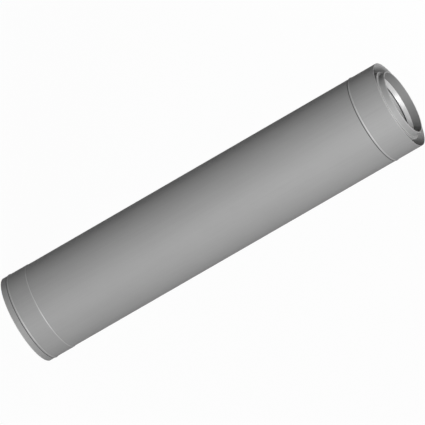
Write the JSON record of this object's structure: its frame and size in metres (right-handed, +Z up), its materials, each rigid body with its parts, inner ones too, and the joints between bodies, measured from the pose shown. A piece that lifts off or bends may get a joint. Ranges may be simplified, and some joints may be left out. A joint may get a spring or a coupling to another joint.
{
  "type": "concentric flue pipe length",
  "caption": "Straight double-walled flue pipe length with an open air gap, a slip-on casing sleeve at one end and a sealed liner socket at the other.",
  "frame": {"origin": "on the pipe's axis at the lower rim of the casing's sleeve, on which the pipe stands", "axes": "+Z up along the pipe's axis, from the casing's sleeve to the liner's socket"},
  "size_m": [0.2152, 0.2152, 1.0107],
  "materials": {
    "casing_steel": "satin stainless sheet",
    "liner_steel": "satin stainless sheet",
    "seal_silicone": "smooth light silicone",
    "spacer_steel": "plain stainless strip"
  },
  "bodies": {
    "root": {"outer_casing": "casing_steel", "flue_liner": "liner_steel", "lip_seal": "seal_silicone", "spacer_lower_1": "spacer_steel", "spacer_lower_2": "spacer_steel", "spacer_lower_3": "spacer_steel", "spacer_upper_1": "spacer_steel", "spacer_upper_2": "spacer_steel", "spacer_upper_3": "spacer_steel"}
  },
  "joints": []
}
